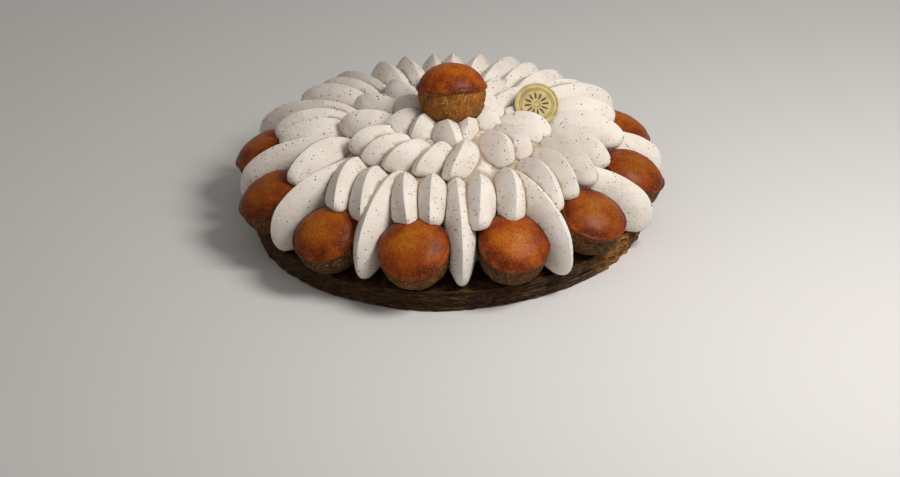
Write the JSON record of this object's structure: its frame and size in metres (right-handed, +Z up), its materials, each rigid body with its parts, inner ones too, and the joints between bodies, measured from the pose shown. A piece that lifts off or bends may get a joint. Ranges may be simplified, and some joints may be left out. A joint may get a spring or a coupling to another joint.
{
  "type": "saint-honore cake",
  "caption": "Round saint-honore cake: puff pastry base, crown of caramel-dipped choux, vanilla cream piped in radial petals, one choux on top and a thin gold plaque",
  "frame": {"origin": "centre of the pastry's flat underside, on the surface the cake rests on", "axes": "+Z up through the choux in the middle, -Y the front, towards the viewer of the picture, +X the viewer's right"},
  "size_m": [0.2575, 0.2559, 0.0997],
  "materials": {
    "puff_pastry": "dark baked, flaky, matt",
    "choux": "satin caramel cap over a matt baked body",
    "cream": "soft matt whipped cream with vanilla specks",
    "gold_plaque": "satin pale gold"
  },
  "bodies": {
    "root": {"pastry_base": "puff_pastry", "choux_01": "choux", "choux_02": "choux", "choux_03": "choux", "choux_04": "choux", "choux_05": "choux", "choux_06": "choux", "choux_07": "choux", "choux_08": "choux", "choux_09": "choux", "choux_10": "choux", "choux_11": "choux", "choux_12": "choux", "choux_top": "choux", "cream": "cream", "plaque": "gold_plaque"}
  },
  "joints": []
}
